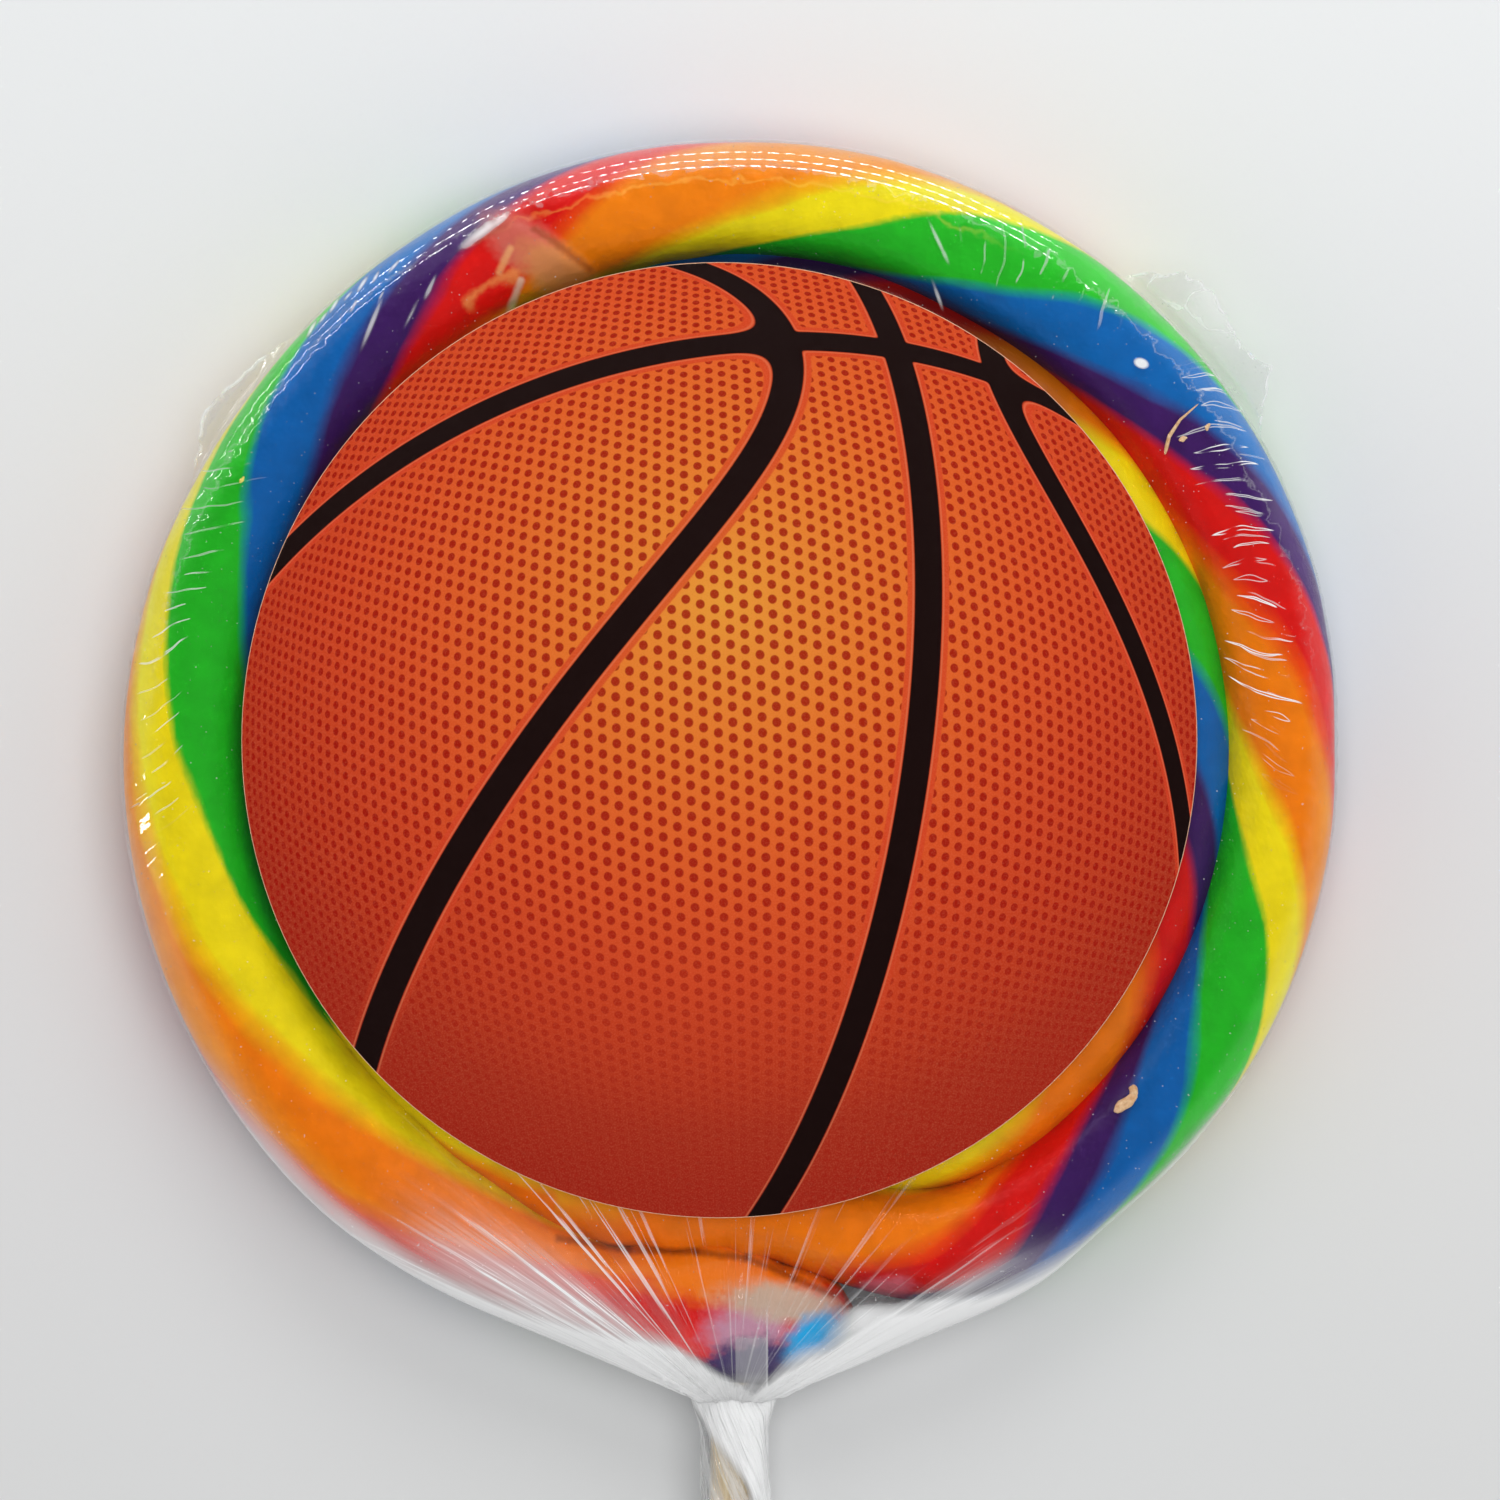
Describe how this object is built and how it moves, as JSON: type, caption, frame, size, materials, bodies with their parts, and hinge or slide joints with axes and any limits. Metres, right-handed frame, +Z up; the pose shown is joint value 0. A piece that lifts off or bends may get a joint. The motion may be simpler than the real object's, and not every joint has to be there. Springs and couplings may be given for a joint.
{
  "type": "swirl lollipop",
  "caption": "Round swirl lollipop of twisted rainbow hard candy on a wooden stick, in shrunk clear film with a round ball-patterned paper card on the front; lies on its back.",
  "frame": {"origin": "middle of the bounding box in X and Y, on the surface that the lollipop lies on", "axes": "+Z up out of the printed front, -Y along the stick towards its free end, +X to the right seen from the front with the stick down"},
  "size_m": [0.08, 0.178, 0.0099],
  "materials": {
    "candy": "boiled sugar rope in red, orange, yellow, green, blue and purple stripes, smooth and glossy",
    "stick_wood": "pale bare wood dowel",
    "clear_film": "thin clear glossy film, shrunk tight, wrinkled and pleated at the neck",
    "printed_card": "matt printed paper, orange with dark seams and a dot grain"
  },
  "bodies": {
    "root": {"candy_coil": "candy", "stick": "stick_wood", "film_wrap": "clear_film", "print_card": "printed_card"}
  },
  "joints": []
}
